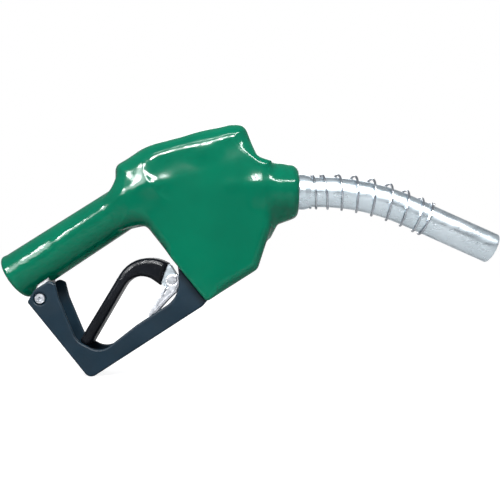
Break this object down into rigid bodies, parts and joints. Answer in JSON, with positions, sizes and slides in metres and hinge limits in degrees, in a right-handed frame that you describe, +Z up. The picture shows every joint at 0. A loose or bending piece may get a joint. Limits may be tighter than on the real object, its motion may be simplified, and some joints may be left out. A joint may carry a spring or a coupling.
{
  "type": "fuel nozzle",
  "caption": "Hand-held automatic shut-off fuel nozzle with a vinyl cover, lever guard, hold-open clip and a bent metal spout wrapped in a coil spring.",
  "frame": {"origin": "centre of the hose inlet's mouth, on the handle's axis", "axes": "+X runs along the base of the spout, away from the hose inlet; +Z is up with the guard below; +Y completes the right-handed frame, across the nozzle"},
  "size_m": [0.3932, 0.046, 0.1954],
  "materials": {
    "cast_aluminium": "as-cast, bead-blasted",
    "green_vinyl": "glossy dip-moulded vinyl",
    "black_moulding": "satin slate-black moulding",
    "black_grip": "glossy black sleeve",
    "machined_aluminium": "satin drawn tube",
    "bright_zinc": "bright zinc plate",
    "spring_steel": "drawn spring wire",
    "stainless_steel": "turned",
    "brass": "turned",
    "seal_rubber": "moulded",
    "acetal": "moulded"
  },
  "bodies": {
    "nozzle_body": {"body_casting": "cast_aluminium", "body_cover": "green_vinyl", "lever_guard": "black_moulding", "guard_rear_screw": "bright_zinc", "guard_rear_nut": "bright_zinc", "guard_front_screws": "bright_zinc", "hold_open_rack": "spring_steel", "main_valve_cap": "cast_aluminium", "main_cap_oring": "seal_rubber", "main_spring": "spring_steel", "main_seat_ring": "brass", "stem_packing": "seal_rubber", "packing_nut": "brass", "plunger_spring": "spring_steel", "plunger_guide_nut": "brass", "plunger_oring": "seal_rubber", "latch_sleeve": "stainless_steel", "diaphragm": "seal_rubber", "diaphragm_spring": "spring_steel", "vacuum_cap": "cast_aluminium", "vacuum_cap_screws": "bright_zinc", "check_seat_ring": "brass", "check_spring": "spring_steel", "check_guide": "acetal", "spout_adapter": "machined_aluminium", "adapter_oring": "seal_rubber", "spout_oring": "seal_rubber", "spout_retaining_screw": "bright_zinc", "spout_tube": "machined_aluminium", "vent_tube": "stainless_steel", "vent_fitting": "stainless_steel", "spout_coil_spring": "spring_steel"},
    "main_valve": {"main_stem": "stainless_steel", "main_poppet": "brass", "poppet_disc": "seal_rubber", "disc_retainer": "stainless_steel"},
    "plunger": {"plunger_rod": "stainless_steel", "plunger_clevis": "stainless_steel", "ball_cage": "stainless_steel", "lever_pin": "stainless_steel", "lever_pin_clips": "bright_zinc"},
    "ball_1": {"latch_ball_1": "stainless_steel"},
    "ball_2": {"latch_ball_2": "stainless_steel"},
    "ball_3": {"latch_ball_3": "stainless_steel"},
    "latch": {"latch_pin": "stainless_steel", "diaphragm_plates": "stainless_steel", "diaphragm_nut": "stainless_steel"},
    "lever": {"lever_arm": "machined_aluminium", "lever_sleeve": "black_grip", "clip_rivet": "bright_zinc", "clip_spring": "spring_steel"},
    "clip": {"hold_open_clip": "bright_zinc"},
    "check_valve": {"check_poppet": "acetal"}
  },
  "joints": [
    {"name": "auto_trip", "type": "slide", "parent": "nozzle_body", "child": "plunger", "axis": [0.2756, 0, -0.9613], "range_m": [0, 0.006], "stiffness_N_per_m": 600, "springref_m": -0.004, "deforming": ["plunger_spring"]},
    {"name": "lever_squeeze", "type": "hinge", "parent": "plunger", "child": "lever", "pos_m": [0.178, 0, 0.009], "axis": [0, 1, 0], "range_deg": [0, 12], "stiffness_Nm_per_rad": 0.8, "springref_deg": -14.32},
    {"name": "main_valve_lift", "type": "slide", "parent": "nozzle_body", "child": "main_valve", "axis": [-0.2756, 0, 0.9613], "range_m": [0, 0.0095], "deforming": ["main_spring"]},
    {"name": "hold_open_swing", "type": "hinge", "parent": "lever", "child": "clip", "pos_m": [0.1256, 0, -0.0009], "axis": [0, 1, 0], "range_deg": [0, 9], "stiffness_Nm_per_rad": 0.004, "deforming": ["clip_spring"]},
    {"name": "latch_pin_lift", "type": "slide", "parent": "nozzle_body", "child": "latch", "axis": [-0.2756, 0, 0.9613], "range_m": [0, 0.0025], "deforming": ["diaphragm", "diaphragm_spring"]},
    {"name": "check_valve_open", "type": "slide", "parent": "nozzle_body", "child": "check_valve", "axis": [1, 0, 0], "range_m": [0, 0.003], "stiffness_N_per_m": 120, "springref_m": -0.003, "deforming": ["check_spring"]},
    {"name": "ball_1_retract", "type": "slide", "parent": "plunger", "child": "ball_1", "axis": [-0.9613, 0, -0.2756], "range_m": [0, 0.0016]},
    {"name": "ball_2_retract", "type": "slide", "parent": "plunger", "child": "ball_2", "axis": [0.4806, -0.866, 0.1378], "range_m": [0, 0.0016]},
    {"name": "ball_3_retract", "type": "slide", "parent": "plunger", "child": "ball_3", "axis": [0.4806, 0.866, 0.1378], "range_m": [0, 0.0016]}
  ],
  "couplings": [
    {"joint": "main_valve_lift", "follows": "lever_squeeze", "m_per_rad": 0.045},
    {"joint": "latch_pin_lift", "follows": "auto_trip", "ratio": 0.4},
    {"joint": "ball_1_retract", "follows": "auto_trip", "ratio": 0.25},
    {"joint": "ball_2_retract", "follows": "auto_trip", "ratio": 0.25},
    {"joint": "ball_3_retract", "follows": "auto_trip", "ratio": 0.25}
  ]
}
